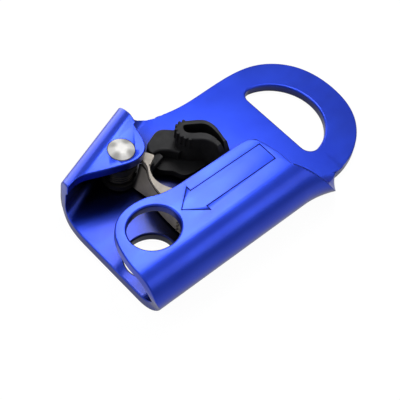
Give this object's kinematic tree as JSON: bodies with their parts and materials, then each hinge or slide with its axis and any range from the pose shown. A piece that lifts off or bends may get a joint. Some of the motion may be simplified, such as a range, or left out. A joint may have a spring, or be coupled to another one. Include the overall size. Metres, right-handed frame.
{
  "type": "chest ascender",
  "caption": "Folded sheet frame with a curled rope channel, a spring-loaded toothed cam and a black safety catch with a thumb tab, a harness opening below and a tie-in hole above.",
  "frame": {"origin": "centre of the tie-in hole on the rest face of the back plate", "axes": "+X down the rope channel towards the harness end, +Y towards the ear that carries the cam pivot, +Z out of the back plate towards the user's rope hand"},
  "size_m": [0.1262, 0.0758, 0.0225],
  "materials": {
    "anodised_frame": "satin blue anodised",
    "rivet_steel": "bright satin",
    "black_washer": "matte black",
    "bush_steel": "turned",
    "cam_steel": "satin, warm grey",
    "spring_steel": "drawn wire",
    "catch_plastic": "matte black",
    "pin_steel": "turned"
  },
  "bodies": {
    "frame": {"frame": "anodised_frame", "cam_rivet": "rivet_steel", "cam_washer_rear": "black_washer", "cam_washer_front": "black_washer"},
    "cam": {"cam": "cam_steel", "cam_bush": "bush_steel", "catch_pin": "pin_steel", "cam_spring": "spring_steel"},
    "catch": {"safety_catch": "catch_plastic", "catch_spring": "spring_steel"}
  },
  "joints": [
    {"name": "cam_pivot", "type": "hinge", "parent": "frame", "child": "cam", "pos_m": [0.013, 0.0326, 0], "axis": [0, 0, 1], "range_deg": [0, 25], "stiffness_Nm_per_rad": 0.3, "springref_deg": -28.65, "deforming": ["cam_spring"]},
    {"name": "catch_pivot", "type": "hinge", "parent": "cam", "child": "catch", "pos_m": [0.0217, 0.027, 0], "axis": [0, 0, 1], "range_deg": [0, 12], "stiffness_Nm_per_rad": 0.05, "springref_deg": -17.19, "deforming": ["catch_spring"]}
  ]
}
